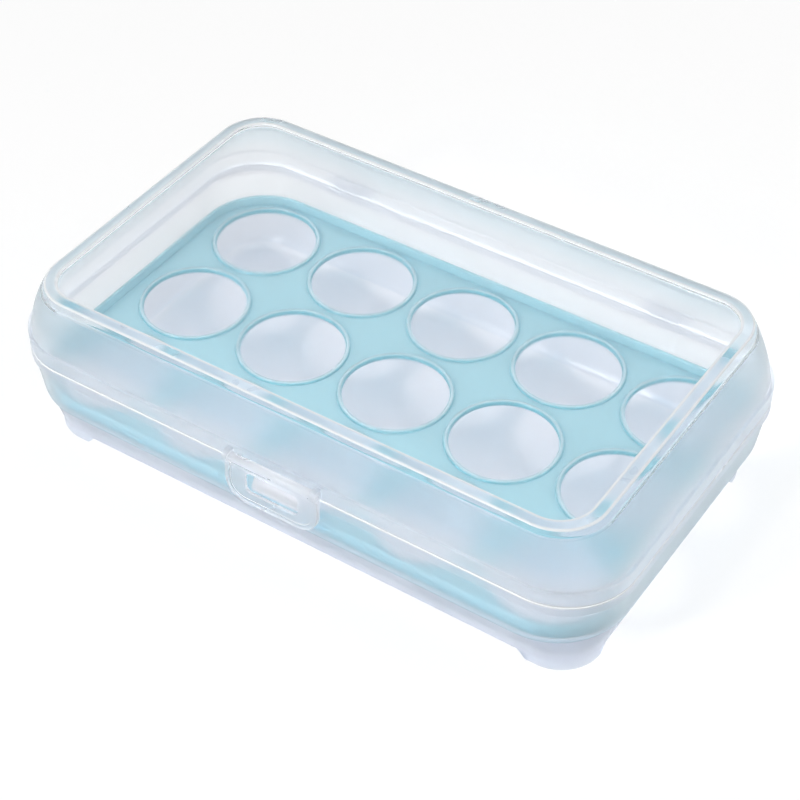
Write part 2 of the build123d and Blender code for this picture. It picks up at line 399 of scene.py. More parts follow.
class Tree:
    """A shorthand for building a node tree."""

    def __init__(self, tree: bpy.types.NodeTree) -> None:
        """Keeps the tree that the nodes go into."""
        self.tree = tree

    @classmethod
    def emptied(cls, owner: bpy.types.Material | bpy.types.World) -> "Tree":
        """The tree of a material or a world, with nothing in it."""
        owner.use_nodes = True
        owner.node_tree.nodes.clear()
        return cls(owner.node_tree)

    def node(
        self, kind: str, values: dict[str | int, object] | None = None, **settings: object
    ) -> bpy.types.Node:
        """Adds a node.

        Args:
            kind: the node's type name.
            values: input values, or sockets to link, by the input's name or place.
            settings: the node's own properties.

        Returns:
            The new node.
        """
        node = self.tree.nodes.new(kind)
        for key, value in settings.items():
            setattr(node, key, value)
        for key, value in (values or {}).items():
            self.feed(node.inputs[key], value)
        return node

    def out(
        self, kind: str, values: dict[str | int, object] | None = None, **settings: object
    ) -> Socket:
        """Adds a node and gives its first output."""
        return self.node(kind, values, **settings).outputs[0]

    def maths(self, operation: str, one: object, two: object) -> Socket:
        """The result of a Math node."""
        return self.out("ShaderNodeMath", {0: one, 1: two}, operation=operation)

    def ranged(self, value: Socket, source: Pair, target: Pair = (0.0, 1.0)) -> Socket:
        """A value carried over from one range to another."""
        ends = zip(("From Min", "From Max", "To Min", "To Max"), (*source, *target))
        return self.out("ShaderNodeMapRange", {"Value": value, **dict(ends)})

    def noise(self, place: Socket, scale: float, detail: float, roughness: float = 0.5) -> Socket:
        """The value of a Noise Texture node."""
        values = {"Vector": place, "Scale": scale, "Detail": detail, "Roughness": roughness}
        return self.out("ShaderNodeTexNoise", values)

    def feed(self, socket: Socket, value: object) -> None:
        """Links a socket to an input, or sets its value."""
        if isinstance(value, Socket):
            self.tree.links.new(value, socket)
        else:
            socket.default_value = value

    def join(self, *sources: Socket) -> Socket:
        """Joins geometries into one."""
        node = self.node("GeometryNodeJoinGeometry")
        for source in sources:
            self.feed(node.inputs[0], source)
        return node.outputs[0]


def rgba(colour: Colour) -> Rgba:
    """A linear colour with full alpha."""
    return (*colour, 1.0)


CLOUDS = 38.0  # milkier patches in a metre
WAVES = 55.0  # slow waves in a metre
NOISE_RANGE = (0.3, 0.7)  # where most of a noise's values lie


@dataclass(frozen=True)
class Layer:
    """The look of a plastic at one height."""

    tint: Colour  # linear, as all colours here
    haze: float  # share of the surface that spreads the light behind it
    height: float = 0.0  # in millimetres


@dataclass(frozen=True)
class PlasticFinish:
    """A moulded see-through plastic."""

    name: str
    layers: tuple[Layer, ...]  # its look from the bottom up, blended in between
    cloud: float  # how bright its milkier patches are
    roughness: Pair  # lowest and highest over the surface
    clearness: float  # share of the light that goes straight through
    glow_tint: Colour  # of the light that the haze spreads
    passing: Colour  # of the lamp light that gets through one surface
    bend: float = 1.46  # refractive index
    grain_size: float = 0.35  # of the moulded texture, in millimetres
    grain_depth: float = 0.003  # in millimetres
    wave_depth: float = 0.006  # of the moulding's slow waviness, in millimetres

    def material(self) -> bpy.types.Material:
        """Builds the node-based material."""
        made = bpy.data.materials.new(self.name)
        tree = Tree.emptied(made)
        place = tree.node("ShaderNodeTexCoord").outputs["Object"]
        cloud = tree.noise(place, CLOUDS, detail=3.0, roughness=0.55)
        grain = tree.noise(place, 1.0 / (self.grain_size * MM), detail=2.0)
        wave = tree.noise(place, WAVES, detail=1.0)
        height = tree.node("ShaderNodeSeparateXYZ", {"Vector": place}).outputs["Z"]
        tint = self.by_height(tree, height, [rgba(layer.tint) for layer in self.layers])
        haze: object = self.layers[0].haze
        if len(self.layers) > 1:
            hazes = [rgba((layer.haze,) * 3) for layer in self.layers]
            haze = self.by_height(tree, height, hazes)
        colour = self.clouded(tree, tint, cloud)
        rough = tree.ranged(cloud, NOISE_RANGE, self.roughness)
        normal = self.bumped(tree, wave, self.wave_depth)
        normal = self.bumped(tree, grain, self.grain_depth, normal)
        surface = {"Base Color": colour, "Roughness": rough, "Normal": normal}
        through = {"IOR": self.bend, "Transmission Weight": self.clearness}
        body = tree.out("ShaderNodeBsdfPrincipled", {**surface, **through})
        glow = {"Color": rgba(self.glow_tint), "Normal": normal}
        spread = tree.out("ShaderNodeBsdfTranslucent", glow)
        body = tree.out("ShaderNodeMixShader", {0: haze, 1: body, 2: spread})
        lamp = tree.node("ShaderNodeLightPath").outputs["Is Shadow Ray"]
        passing = tree.out("ShaderNodeBsdfTransparent", {"Color": rgba(self.passing)})
        shown = tree.out("ShaderNodeMixShader", {0: lamp, 1: body, 2: passing})
        tree.node("ShaderNodeOutputMaterial", {"Surface": shown})
        return made

    @staticmethod
    def bumped(tree: Tree, relief: Socket, depth: float, below: Socket | None = None) -> Socket:
        """The normal of a relief of a depth in millimetres, on top of another normal."""
        values = {"Height": relief, "Distance": depth * MM, "Strength": 1.0}
        if below is not None:
            values["Normal"] = below
        return tree.out("ShaderNodeBump", values)

    def by_height(self, tree: Tree, height: Socket, values: Sequence[Rgba]) -> object:
        """Blends the layers' values by height, or gives the value where there is one layer."""
        if len(values) == 1:
            return values[0]
        share = tree.ranged(height, (0.0, LEVEL.top * MM))
        ramp = tree.node("ShaderNodeValToRGB", {"Fac": share})
        marks = ramp.color_ramp.elements
        while len(marks) < len(values):
            marks.new(1.0)
        for mark, layer, value in zip(marks, self.layers, values):
            mark.position = layer.height / LEVEL.top
            mark.color = value
        return ramp.outputs["Color"]

    def clouded(self, tree: Tree, tint: object, cloud: Socket) -> Socket:
        """Dims a tint a little where the plastic is milkier."""
        mix = tree.node("ShaderNodeMix", {0: cloud}, data_type="RGBA", blend_type="MULTIPLY")
        colours = [socket for socket in mix.inputs if socket.type == "RGBA"]
        tree.feed(colours[0], tint)
        tree.feed(colours[1], rgba((self.cloud,) * 3))
        return next(socket for socket in mix.outputs if socket.type == "RGBA")


BASE_FROST = PlasticFinish(
    name="frosted_base",
    layers=(
        # The lowest two layers are darker: painted shade over the lower wall and the feet.
        Layer((0.69, 0.74, 0.825), 0.10, 0.0),
        Layer((0.74, 0.785, 0.86), 0.10, 17.6),
        # These two blue layers are painted: the tray's blue as seen through the wall, a little
        # darker below as painted shade at its lower edge.
        Layer((0.44, 0.62, 0.69), 0.03, 18.9),
        Layer((0.46, 0.65, 0.72), 0.02, 20.3),
        Layer((0.92, 0.95, 0.975), 0.02, 21.4),
        Layer((0.94, 0.96, 0.98), 0.02, 35.2),
        Layer((0.97, 0.975, 0.985), 0.32, 36.4),
    ),
    cloud=0.96, roughness=(0.28, 0.34), clearness=0.96,
    glow_tint=(0.88, 0.89, 0.94), passing=(0.86, 0.89, 0.93),
)
FLOOR_FROST = PlasticFinish(
    name="frosted_floor",
    layers=(Layer((0.95, 0.93, 0.95), 0.22),),
    cloud=0.97, roughness=(0.28, 0.34), clearness=0.46,
    glow_tint=(0.80, 0.80, 0.86), passing=(0.80, 0.84, 0.90),
)
LID_FROST = PlasticFinish(
    name="frosted_lid",
    layers=(
        Layer((0.96, 0.97, 0.98), 0.22, 39.0),
        Layer((0.96, 0.97, 0.98), 0.19, 46.4),
        # From here up the tint turns blue: painted colour of the blue tray seen through the wall.
        Layer((0.91, 0.95, 0.975), 0.06, 50.5),
        Layer((0.83, 0.915, 0.955), 0.015, 55.0),
        Layer((0.84, 0.92, 0.96), 0.015, 64.5),
    ),
    cloud=0.97, roughness=(0.32, 0.40), clearness=0.98,
    glow_tint=(0.84, 0.875, 0.93), passing=(0.92, 0.925, 0.94),
    wave_depth=0.003,
)
CLEAR = PlasticFinish(
    name="clear_plastic",
    layers=(Layer((0.985, 0.99, 0.995), 0.02),),
    cloud=0.985, roughness=(0.03, 0.07), clearness=1.0,
    glow_tint=(0.9, 0.92, 0.95), passing=(0.96, 0.97, 0.985),
    grain_depth=0.0005, wave_depth=0.004,
)
# Real plastic bends light more, but a corner this thick would then trap it and turn dark.
SHOULDER = replace(
    LID_FROST,
    name="thick_shoulder",
    # Its blue tint is painted colour of the tray seen through.
    layers=(Layer((0.92, 0.96, 0.98), 0.02),),
    roughness=(0.20, 0.26),
    bend=1.12,
)
# The rim's blue tint is painted colour of the tray seen through it.
RIM_TOP = PlasticFinish(
    name="rim_plastic",
    layers=(Layer((0.88, 0.955, 0.97), 0.02),),
    cloud=0.98, roughness=(0.26, 0.32), clearness=0.98,
    glow_tint=(0.9, 0.92, 0.95), passing=(0.93, 0.95, 0.97),
)
# Painted highlight: a whiter, milkier plastic on rounded edges, standing in for the bright lines
# that the lamps draw along them.
PAINTED_HIGHLIGHT = PlasticFinish(
    name="painted_highlight_edge",
    layers=(Layer((0.985, 0.99, 0.995), 0.12),),
    cloud=0.985, roughness=(0.20, 0.28), clearness=0.10,
    glow_tint=(0.95, 0.965, 0.985), passing=(0.80, 0.84, 0.88),
)
TINTED = PlasticFinish(
    name="tinted_plastic",
    layers=(Layer((0.53, 0.78, 0.825), 0.33),),
    cloud=0.93, roughness=(0.30, 0.40), clearness=0.35,
    glow_tint=(0.47, 0.73, 0.79), passing=(0.44, 0.62, 0.71),
)
TINTED_BEAD_PAINTED_LIGHT = PlasticFinish(
    name="tinted_bead_painted_light",
    layers=(
        # Painted light: near white at the bead's lower inner edge and along its top as painted
        # highlights, dark teal between as painted shade where it meets the plate.
        Layer((0.88, 0.96, 0.98), 0.20, 21.65),
        Layer((0.18, 0.55, 0.63), 0.10, 22.0),
        Layer((0.18, 0.56, 0.64), 0.10, 23.5),
        Layer((0.86, 0.96, 0.98), 0.22, 23.72),
    ),
    cloud=0.96, roughness=(0.14, 0.22), clearness=0.50,
    glow_tint=(0.50, 0.77, 0.83), passing=(0.40, 0.62, 0.70),
)
TINTED_LIP_PAINTED_SHADE = replace(
    TINTED_BEAD_PAINTED_LIGHT,
    name="tinted_lip_painted_shade",
    layers=(
        # The lower layers are darker: painted shade along the lip's foot by the plate.
        Layer((0.26, 0.52, 0.58), 0.12, 21.6),
        Layer((0.28, 0.56, 0.62), 0.14, 22.4),
        Layer((0.47, 0.74, 0.81), 0.25, 23.2),
        Layer((0.50, 0.77, 0.83), 0.25, 26.9),
    ),
)
LATCH_FROST = PlasticFinish(
    name="latch_plastic",
    layers=(Layer((0.91, 0.925, 0.95), 0.15),),
    cloud=0.965, roughness=(0.24, 0.32), clearness=0.85,
    glow_tint=(0.91, 0.92, 0.955), passing=(0.80, 0.84, 0.89),
)


def finish(piece: Solid, plastics: Sequence[PlasticFinish], tools: Sequence[Tool]) -> None:
    """Gives a piece its plastics and its small solids, and shades it smooth."""
    dress(piece, [plastic.material() for plastic in plastics])
    combine(piece, tools)
    smooth(piece)


# ---- base


@dataclass
class Base:
    """The lower half: feet, leaning wall, ledge, rim, rear hinge pins and front catch."""

    foot_wall: float = 3.0
    foot_length: float = 20.0  # from the outline's corner along the front
    foot_width: float = 16.0  # from the outline's corner along an end
    foot_slope: float = 4.2  # width of a foot's sloping end, with its rounding
    slope_start: float = 0.14  # share of the slope that lies under the foot
    skirt: float = 0.25  # how far the floor's edge still stands down between the feet
    flat_floor: float = 14.0  # from the outline to the flat middle of the floor
    floor_round: float = 5.5  # rounding between the inner floor and the wall
    bead_height: float = 4.2  # of the thickened rim
    pin_radius: float = 1.5
    lug_wall: float = 1.2
    lug_inside: float = 6.3  # from a hinge's middle to the inner face of a lug
    lug_outside: float = 8.9
    lug_root: float = 2.6  # how much lower than its eye a lug starts on the wall
    pin_overlap: float = 1.0  # how far a pin reaches into each lug
    catch_width: float = 18.8
    catch_low: float = 30.5
    catch_high: float = 35.5
    catch_tip: tuple[Pair, ...] = ((-73.6, 30.5), (-73.85, 30.75), (-73.85, 32.3), (-73.6, 32.75))
    plastics: tuple[PlasticFinish, ...] = (BASE_FROST, FLOOR_FROST, PAINTED_HIGHLIGHT)

    def lift(self, x: float, y: float, z: float) -> float:
        """How much the lower edge rises between the feet."""
        if z >= LEVEL.floor_under:
            return 0.0
        if abs(y) > FLOOR.half_width - self.foot_width:
            away = FLOOR.half_length - self.foot_length - abs(x)
        else:
            away = FLOOR.half_width - self.foot_width - abs(y)
        ease = min(max(away / self.foot_slope + self.slope_start, 0.0), 1.0)
        ease = ease * ease * (3 - 2 * ease)
        return ease * (LEVEL.floor_under - self.skirt) * (1 - z / LEVEL.floor_under)

    def stations(self) -> Sides:
        """Vertex places with extra ones at the feet's slopes."""
        straight_x = FLOOR.half_length - FLOOR.radius
        straight_y = FLOOR.half_width - FLOOR.radius
        foot_x = FLOOR.half_length - self.foot_length
        foot_y = FLOOR.half_width - self.foot_width
        reach = [-1.0 + 0.5 * step for step in range(12)]  # back from a foot's end
        along_x = [(foot_x - back) / straight_x for back in reach]
        along_y = [(foot_y - back) / straight_y for back in reach if back > 0]
        middle = [0.0, 0.25, 0.5, 0.75]

        def mirrored(shares: list[float]) -> tuple[float, ...]:
            """The shares on both sides of the middle, in order."""
            return tuple(sorted({-share for share in shares} | set(shares)))

        return Sides(mirrored(along_x + middle), mirrored(along_y + middle), 22)

    def section(self) -> list[Stop]:
        """The wall's section, from the inner floor over the rim to the underside."""
        bead_z = LEVEL.parting - self.bead_height
        # The edge slot is the painted highlight, for the rim's two upper roundings.
        wall, floor, edge = range(3)  # the plastics, in order
        return [
            Stop(FLOOR.inset(self.flat_floor).at(LEVEL.floor_top), 0.0, floor),
            Stop(FLOOR.inset(WALL).at(LEVEL.floor_top), self.floor_round, wall),
            Stop(LEDGE_INNER.at(LEVEL.step_base), 0.6),
            Stop(LEDGE_INNER.at(LEVEL.seat), 0.4),
            Stop(SEAT_INNER.at(LEVEL.seat), 0.3),
            Stop(RIM_INNER, 0.35, wall, edge),
            Stop(RIM_OUTER, 0.45, wall, edge),
            Stop(RIM_OUTER.at(bead_z), 0.5),
            Stop(RIM_WALL.at(bead_z), 0.35),
            Stop(SEAT_OUTER.at(LEVEL.step_top), 1.2),
            Stop(LEDGE_OUTER.at(LEVEL.step_base), 1.2),
            Stop(FLOOR.at(LEVEL.floor_under), 1.6),
            Stop(FLOOR.at(0.0), 0.9),
            Stop(FLOOR.inset(self.foot_wall).at(0.0), 0.7),
            Stop(FLOOR.inset(self.foot_wall).at(LEVEL.floor_under), 0.0, floor),
            Stop(FLOOR.inset(self.flat_floor).at(LEVEL.floor_under), 0.0, floor),
        ]

    def hinge_parts(self) -> list[Tool]:
        """The lugs and pins of the two rear hinges."""
        radius = self.pin_radius + self.lug_wall
        top, bottom = HINGE_Z - HINGE_GAP, HINGE_Z - radius
        foot = [(ROOT, top), (HINGE_Y, top), (HINGE_Y, bottom), (ROOT, bottom - self.lug_root)]
        eye = circle(HINGE_Y, HINGE_Z, radius)
        pin = circle(HINGE_Y, HINGE_Z, self.pin_radius)
        inside, outside = self.lug_inside, self.lug_outside
        reach = inside + self.pin_overlap
        parts: list[Tool] = []
        for centre in HINGE_CENTRES:
            for ends in ((-outside, -inside), (inside, outside)):
                low, high = (centre + end for end in ends)
                parts.append(bar("hinge_lug_foot", foot, low, high))
                parts.append(bar("hinge_lug_eye", eye, low, high))
            parts.append(bar("hinge_pin", pin, centre - reach, centre + reach))
        return parts

    def catch(self) -> Tool:
        """The catch nose on the front wall, in the floor's plastic."""
        front = -RIM_WALL.half_width
        nose = [
            (front + WALL / 2, self.catch_low),
            *self.catch_tip,
            (front, self.catch_high),
            (front + WALL / 2, self.catch_high),
        ]
        half = self.catch_width / 2
        return bar("catch_nose", nose, -half, half, slot=1)

    def make(self) -> Solid:
        """Builds the base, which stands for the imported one."""
        piece = shell("base_shell", self.section(), self.stations(), self.lift)
        finish(piece, self.plastics, [*self.hinge_parts(), self.catch()])
        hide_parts("base")
        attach(piece, "base")
        return piece


# ---- lid


@dataclass
class Lid:
    """The domed lid: flange, bulging wall, stacking rim and sunk clear panel."""

    bulge: float = 1.9  # 1 is a straight wall, more bulges the shoulder
    dome_steps: int = 12  # stretches of the bulging wall
    rim_width: float = 4.7  # at the top
    rim_highlight: float = 1.1  # of that width, the strip along its inside that carries the painted highlight
    rim_sunk: float = 10.0  # from the rim to the flat middle of the panel
    shoulder_depth: float = 0.5  # how far the thick shoulder reaches below the panel
    shoulder_width: float = 7.0  # how far it reaches in under the panel
    panel_middle: float = 16.0  # from the dome to the flat middle of its underside
    lip_gap: float = 0.4  # between the base's rim and the locating lip inside it
    lip_inside: float = 1.4  # from that rim to the lip's inner face
    lip_depth: float = 1.6
    knuckle_width: float = 12.0
    knuckle_radius: float = 3.0
    knuckle_root: float = 1.6  # how much higher than its ring a knuckle's arm starts
    bore_radius: float = 1.58
    mouth_half: float = 1.15
    mouth_depth: float = 4.4
    stop_angle: float = -33.0  # of the stop rib, above level
    stop_reach: float = 3.19
    stop_radius: float = 0.78
    ear_centre: float = 18.05  # of a latch ear, from the middle
    ear_half: float = 1.15  # half its thickness
    ear_radius: float = 2.07
    ear_bore: float = 0.98
    plastics: tuple[PlasticFinish, ...] = (LID_FROST, CLEAR, PAINTED_HIGHLIGHT, SHOULDER, RIM_TOP)

    def dome(self, height: float) -> Outline:
        """Outer outline of the bulging wall at a height."""
        share = (height - LEVEL.parting) / (LEVEL.top - LEVEL.parting)
        return RIM_WALL.towards(DOME_TOP, share**self.bulge).at(height)

    def heights(self, low: float, high: float) -> list[float]:
        """Evenly spaced heights between two levels, both left out."""
        steps = self.dome_steps
        return [low + (high - low) * step / steps for step in range(1, steps)]

    def section(self) -> list[Stop]:
        """The wall's section, from the panel's underside over the edge to its top."""
        # The edge slot is the painted highlight, for the flange's rounding and the rim's edges.
        frosted, clear, edge, shoulder, rim = range(5)  # the plastics, in order
        lip_z = LEVEL.parting - self.lip_depth
        mouth, lip = RIM_INNER.inset(self.lip_inside), RIM_INNER.inset(self.lip_gap)
        under, base = self.dome(LEVEL.panel_under), self.dome(LEVEL.dome_base)
        inside = DOME_TOP.inset(self.rim_width)
        shoulder_z = LEVEL.panel_under - self.shoulder_depth
        return [
            Stop(under.inset(self.panel_middle), 0.0, clear),
            Stop(under.inset(self.shoulder_width), 0.0, shoulder),
            Stop(under.inset(WALL), 1.0, frosted),
            *(
                Stop(self.dome(height).inset(WALL))
                for height in reversed(self.heights(LEVEL.dome_base, LEVEL.panel_under))
            ),
            Stop(base.inset(WALL), 0.8),
            Stop(mouth.at(LEVEL.parting + WALL), 0.5),
            Stop(mouth.at(lip_z), 0.35),
            Stop(lip.at(lip_z), 0.35),
            Stop(lip, 0.1),
            Stop(RIM_OUTER, 0.9, frosted, edge),
            Stop(RIM_OUTER.at(LEVEL.dome_base), 1.5),
            Stop(base, 0.5),
            *(
                Stop(self.dome(height), 0.0, shoulder if height > shoulder_z else frosted)
                for height in self.heights(LEVEL.dome_base, LEVEL.top)
            ),
            # The rim's outer rounding, a strip along its inside and its inner rounding carry the
            # painted highlight.
            Stop(DOME_TOP, 0.6, rim, edge),
            Stop(inside.inset(-self.rim_highlight).at(LEVEL.top), 0.0, edge),
            Stop(inside.at(LEVEL.top), 0.6, clear, edge),
            Stop(inside.at(LEVEL.panel_top), 0.7, clear),
            Stop(inside.inset(self.rim_sunk).at(LEVEL.panel_top), 0.0, clear),
        ]

    def knuckles(self) -> list[Tool]:
        """The rear knuckles that snap over the pins."""
        top, bottom = HINGE_Z + self.knuckle_radius, HINGE_Z + HINGE_GAP
        arm = [(ROOT, bottom), (HINGE_Y, bottom), (HINGE_Y, top), (ROOT, top + self.knuckle_root)]
        eye = circle(HINGE_Y, HINGE_Z, self.knuckle_radius)
        rib = radians(self.stop_angle)
        rib_y, rib_z = HINGE_Y + self.stop_reach * cos(rib), HINGE_Z + self.stop_reach * sin(rib)
        stop = circle(rib_y, rib_z, self.stop_radius)
        bore = circle(HINGE_Y, HINGE_Z, self.bore_radius)
        left, right = HINGE_Y - self.mouth_half, HINGE_Y + self.mouth_half
        mouth_z = HINGE_Z - self.mouth_depth
        mouth = [(left, HINGE_Z), (right, HINGE_Z), (right, mouth_z), (left, mouth_z)]
        shapes = (
            ("knuckle_arm", arm, Join.ADD),
            ("knuckle_eye", eye, Join.ADD),
            ("knuckle_stop", stop, Join.ADD),
            ("knuckle_bore", bore, Join.CUT),
            ("knuckle_mouth", mouth, Join.CUT),
        )
        return row(shapes, HINGE_CENTRES, self.knuckle_width / 2)

    def latch_lugs(self) -> list[Tool]:
        """The two ears on the front flange that carry the latch."""
        bottom, top = PIVOT_Z - self.ear_radius, PIVOT_Z + self.ear_radius
        arm = [(-ROOT, bottom), (PIVOT_Y, bottom), (PIVOT_Y, top), (-ROOT, top)]
        eye = circle(PIVOT_Y, PIVOT_Z, self.ear_radius)
        bore = circle(PIVOT_Y, PIVOT_Z, self.ear_bore)
        shapes = (
            ("latch_lug_arm", arm, Join.ADD),
            ("latch_lug_eye", eye, Join.ADD),
            ("latch_lug_bore", bore, Join.CUT),
        )
        return row(shapes, (-self.ear_centre, self.ear_centre), self.ear_half)

    def make(self) -> Solid:
        """Builds the lid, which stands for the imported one."""
        sides = Sides((-0.75, -0.5, -0.25, 0.0, 0.25, 0.5, 0.75), (-0.5, 0.0, 0.5), 24)
        piece = shell("lid_shell", self.section(), sides)
        finish(piece, self.plastics, [*self.knuckles(), *self.latch_lugs()])
        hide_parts("lid")
        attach(piece, "lid")
        return piece


# ---- egg tray


@dataclass
class EggTray:
    """The lift-out tray: a plate with beaded round cells and a lip round its edge.

    Its sizes are the named inputs of its node tree. The heights include the plate.
    """

    columns: int = 5
    rows: int = 3
    column_pitch: float = 46.0
    row_pitch: float = 45.6
    cell_radius: float = 19.7
    bead_width: float = 1.8
    bead_height: float = 2.3
    plate_thickness: float = 1.3
    lip_width: float = 1.2
    lip_height: float = 5.4
    tray_length: float = 2 * TRAY_EDGE.half_length
    tray_width: float = 2 * TRAY_EDGE.half_width
    corner_radius: float = TRAY_EDGE.radius
    seat_height: float = LEVEL.seat

    def inputs(self) -> dict[str, int | float]:
        """The tree's named inputs: counts, and lengths in metres."""
        return {
            name.replace("_", " ").title(): size if isinstance(size, int) else size * MM
            for name, size in asdict(self).items()
        }

    def tree(self) -> bpy.types.NodeTree:
        """Builds the Geometry Nodes tree of the tray, with its sizes as named inputs."""
        # The bead's and the lip's plastics carry painted highlights and painted shade.
        plastics = (TINTED, TINTED_BEAD_PAINTED_LIGHT, TINTED_LIP_PAINTED_SHADE)
        plate, edge, rim = (plastic.material() for plastic in plastics)
        group = bpy.data.node_groups.new("egg_tray_form", "GeometryNodeTree")
        group.interface.new_socket("Geometry", in_out="OUTPUT", socket_type="NodeSocketGeometry")
        for label, value in self.inputs().items():
            kind = "NodeSocketInt" if isinstance(value, int) else "NodeSocketFloat"
            socket = group.interface.new_socket(label, in_out="INPUT", socket_type=kind)
            socket.default_value = value
        tree = Tree(group)
        size = tree.node("NodeGroupInput").outputs

        def block(length: object, width: object, radius: object, steps: int) -> Socket:
            """A rounded rectangle as a curve."""
            sizes = {"Width": length, "Height": width}
            flat = tree.out("GeometryNodeCurvePrimitiveQuadrilateral", sizes)
            corners = {"Curve": flat, "Radius": radius, "Count": steps}
            return tree.out("GeometryNodeFilletCurve", corners, mode="POLY")

        def swept(line: Socket, label: str, rounding: float, steps: int) -> Socket:
            """A block of the labelled width and height, rounded and swept along a curve."""
            width, height = size[f"{label} Width"], size[f"{label} Height"]
            form = block(width, height, tree.maths("MULTIPLY", width, rounding), steps)
            return tree.out("GeometryNodeCurveToMesh", {"Curve": line, "Profile Curve": form})

        def placed(form: Socket, height: Socket, material: bpy.types.Material) -> Socket:
            """Geometry moved up, with a material."""
            move = tree.out("ShaderNodeCombineXYZ", {"Z": height})
            up = tree.out("GeometryNodeTransform", {"Geometry": form, "Translation": move})
            return tree.out("GeometryNodeSetMaterial", {"Geometry": up, "Material": material})

        def above_seat(label: str) -> Socket:
            """The level at half the labelled height above the seat."""
            return tree.maths("ADD", size["Seat Height"], half(size[f"{label} Height"]))

        def half(length: Socket) -> Socket:
            """Half a length."""
            return tree.maths("DIVIDE", length, 2)

        span_x, span_y = (
            tree.maths("MULTIPLY", tree.maths("SUBTRACT", size[count], 1), size[pitch])
            for count, pitch in (("Columns", "Column Pitch"), ("Rows", "Row Pitch"))
        )
        counts = {"Vertices X": size["Columns"], "Vertices Y": size["Rows"]}
        grid = tree.out("GeometryNodeMeshGrid", {"Size X": span_x, "Size Y": span_y, **counts})
        bead_line = tree.maths("ADD", size["Cell Radius"], half(size["Bead Width"]))
        circled = {"Resolution": 96, "Radius": bead_line}
        loop = tree.out("GeometryNodeCurvePrimitiveCircle", circled)
        holes = tree.out("GeometryNodeInstanceOnPoints", {"Points": grid, "Instance": loop})
        holes = tree.out("GeometryNodeRealizeInstances", {"Geometry": holes})
        plate_edge = block(
            tree.maths("SUBTRACT", size["Tray Length"], size["Lip Width"]),
            tree.maths("SUBTRACT", size["Tray Width"], size["Lip Width"]),
            tree.maths("SUBTRACT", size["Corner Radius"], half(size["Lip Width"])),
            steps=24,
        )
        outlines = {"Curve": tree.join(plate_edge, holes)}
        sheet = tree.out("GeometryNodeFillCurve", outlines, mode="TRIANGLES")
        rise = {"Offset": (0.0, 0.0, 1.0), "Offset Scale": size["Plate Thickness"]}
        stretch = {"Mesh": sheet, "Individual": False, **rise}
        risen = tree.out("GeometryNodeExtrudeMesh", stretch, mode="FACES")
        under = tree.out("GeometryNodeFlipFaces", {"Mesh": sheet})
        both = {"Geometry": tree.join(risen, under), "Distance": MERGE}
        closed = tree.out("GeometryNodeMergeByDistance", both)
        plate_part = placed(closed, size["Seat Height"], plate)
        bead = swept(loop, "Bead", rounding=0.45, steps=5)
        beads = tree.out("GeometryNodeInstanceOnPoints", {"Points": grid, "Instance": bead})
        bead_part = placed(beads, above_seat("Bead"), edge)
        lip = swept(plate_edge, "Lip", rounding=0.4, steps=4)
        lip_part = placed(lip, above_seat("Lip"), rim)
        parts = {"Geometry": tree.join(plate_part, bead_part, lip_part)}
        whole = tree.out("GeometryNodeRealizeInstances", parts)
        tree.node("NodeGroupOutput", {"Geometry": whole})
        return group

    def make(self) -> Solid:
        """Builds the tray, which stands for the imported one."""
        piece = linked("egg_tray_form", bpy.data.meshes.new("egg_tray_form"))
        group = self.tree()
        modifier = piece.modifiers.new("form", "NODES")
        modifier.node_group = group
        for item in group.interface.items_tree:
            if item.in_out == "INPUT":
                modifier[item.identifier] = self.inputs()[item.name]
        take_evaluated(piece)
        smooth(piece)
        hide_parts("egg_tray")
        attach(piece, "tray")
        return piece


# ---- latch


